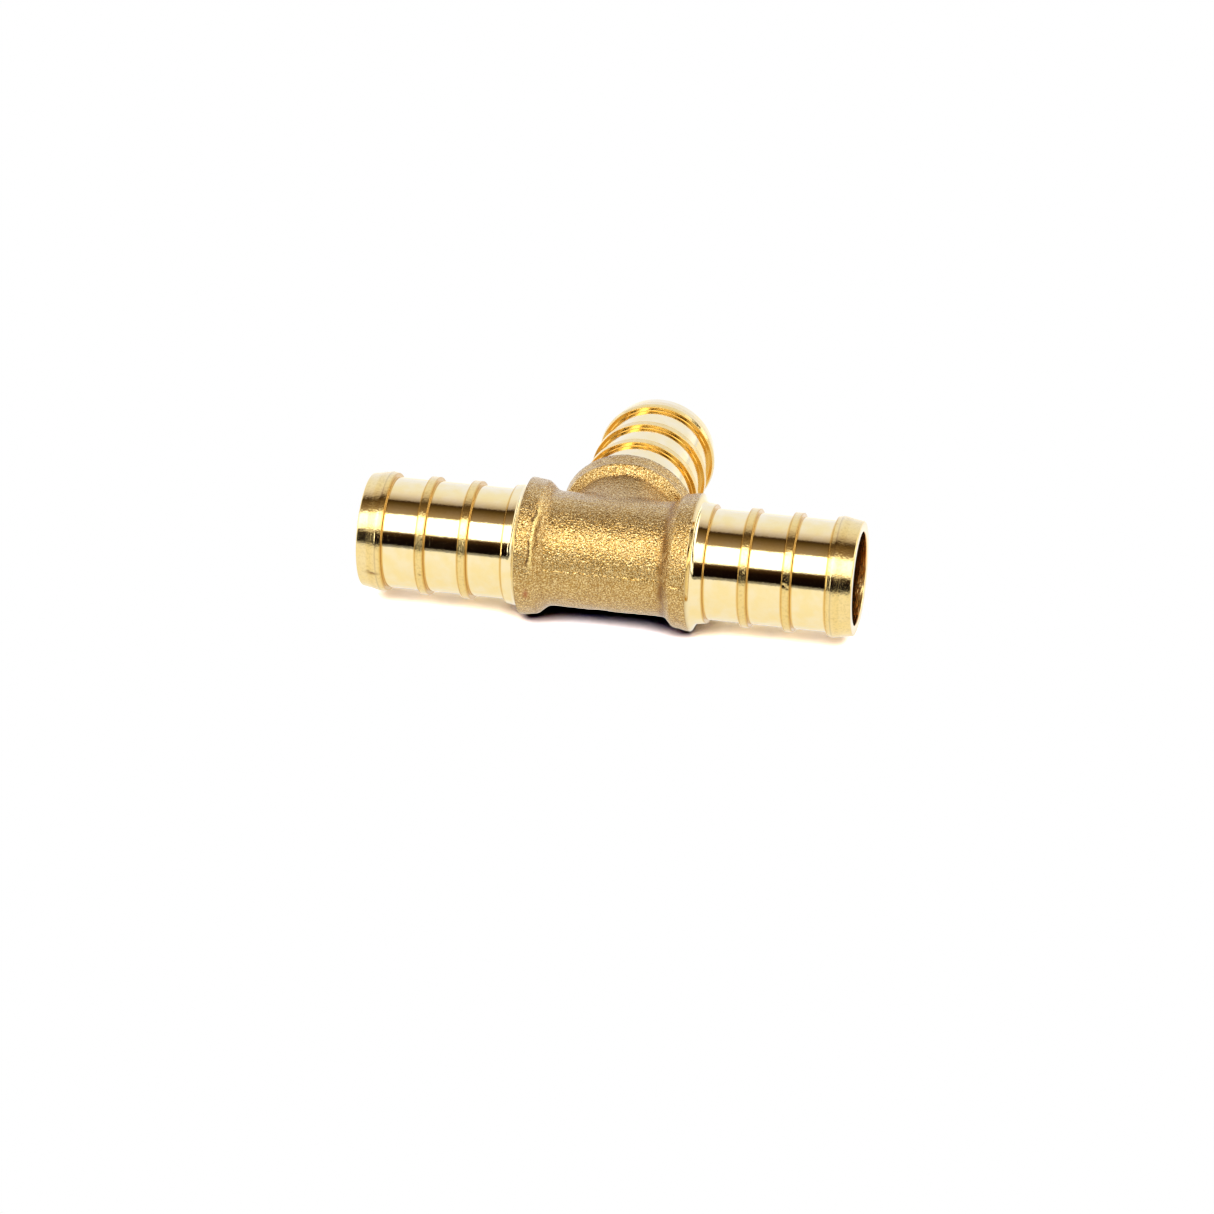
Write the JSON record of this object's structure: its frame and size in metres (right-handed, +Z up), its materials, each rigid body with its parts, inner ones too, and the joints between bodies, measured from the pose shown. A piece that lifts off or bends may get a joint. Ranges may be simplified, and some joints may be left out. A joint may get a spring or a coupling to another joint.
{
  "type": "barbed insert tee fitting",
  "caption": "Brass barbed insert tee: a grainy cast centre with a bright turned, ribbed spigot at every port, for joining crimped plastic water pipe.",
  "frame": {"origin": "where the run and branch axes cross, in the middle of the cast body", "axes": "+X along the run to the right-hand port, +Y along the branch to its port, +Z up as it lies on a table"},
  "size_m": [0.0494, 0.0316, 0.0138],
  "materials": {
    "cast_brass": "as cast, grainy, satin",
    "turned_brass": "bright turned"
  },
  "bodies": {
    "root": {"cast_body": "cast_brass", "left_run_spigot": "turned_brass", "right_run_spigot": "turned_brass", "branch_spigot": "turned_brass"}
  },
  "joints": []
}
